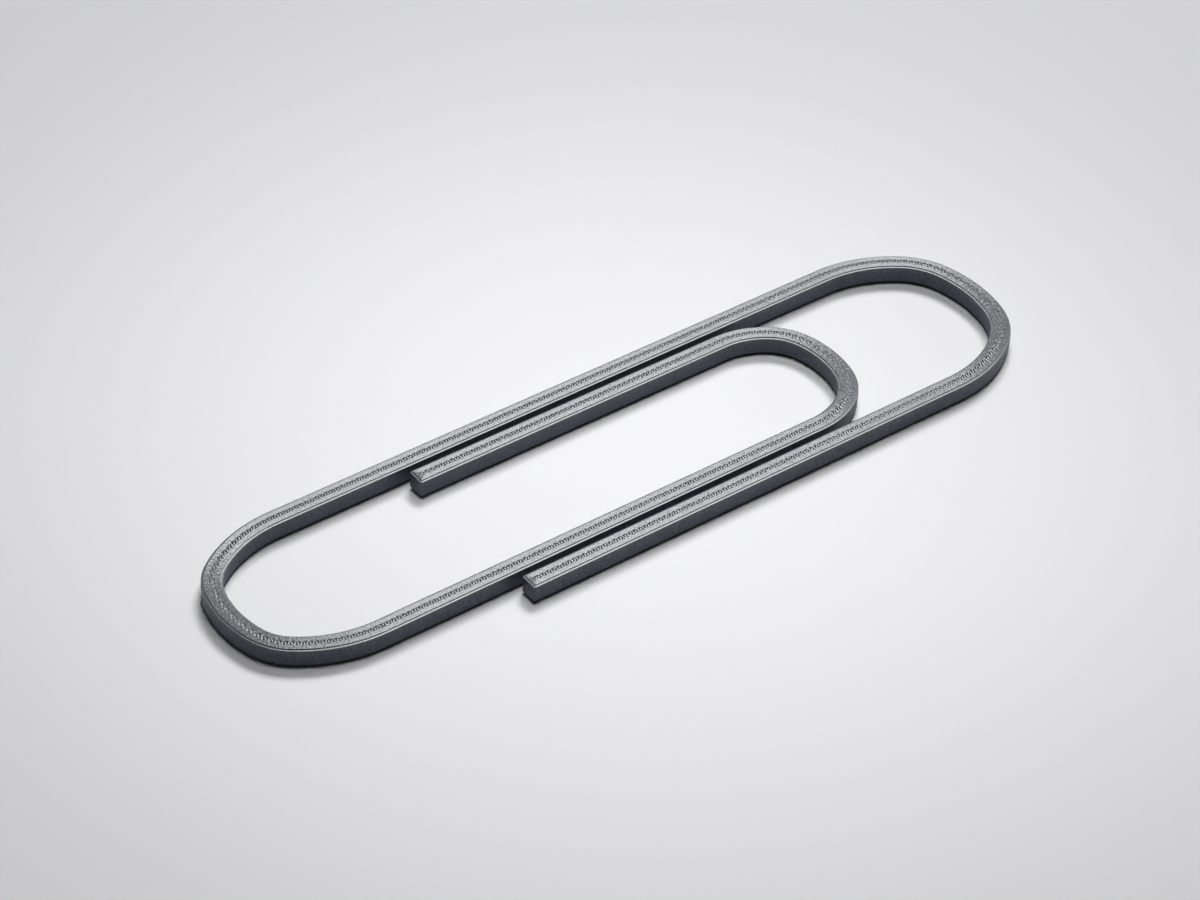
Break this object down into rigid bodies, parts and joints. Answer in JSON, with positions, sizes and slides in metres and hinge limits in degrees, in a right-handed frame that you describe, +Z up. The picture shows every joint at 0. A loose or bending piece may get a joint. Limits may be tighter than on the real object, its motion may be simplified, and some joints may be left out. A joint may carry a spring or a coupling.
{
  "type": "paper clip",
  "caption": "Large flat paper clip printed in grey plastic: a wire bent into an outer frame and an inner sprung tongue that lifts to grip sheets of paper.",
  "frame": {"origin": "centre of the clip's plan, on its flat underside", "axes": "+X along the clip towards the frame's bend, +Y across it towards the frame's long leg, +Z up from the surface that it lies on"},
  "size_m": [0.1348, 0.034, 0.0033],
  "materials": {
    "printed_plastic": "silver-grey PLA printed in layers, satin on top with fine extrusion lines"
  },
  "bodies": {
    "frame": {"frame_free_leg": "printed_plastic", "frame_bend": "printed_plastic", "frame_long_leg": "printed_plastic", "frame_spring_bend": "printed_plastic"},
    "tongue": {"tongue_spring_bend": "printed_plastic", "tongue_long_leg": "printed_plastic", "tongue_bend": "printed_plastic", "tongue_free_leg": "printed_plastic"}
  },
  "joints": [
    {"name": "tongue_lift", "type": "hinge", "parent": "frame", "child": "tongue", "pos_m": [-0.0659, 0.002, 0.00165], "axis": [0, -1, 0], "range_deg": [0, 8], "stiffness_Nm_per_rad": 0.35}
  ]
}
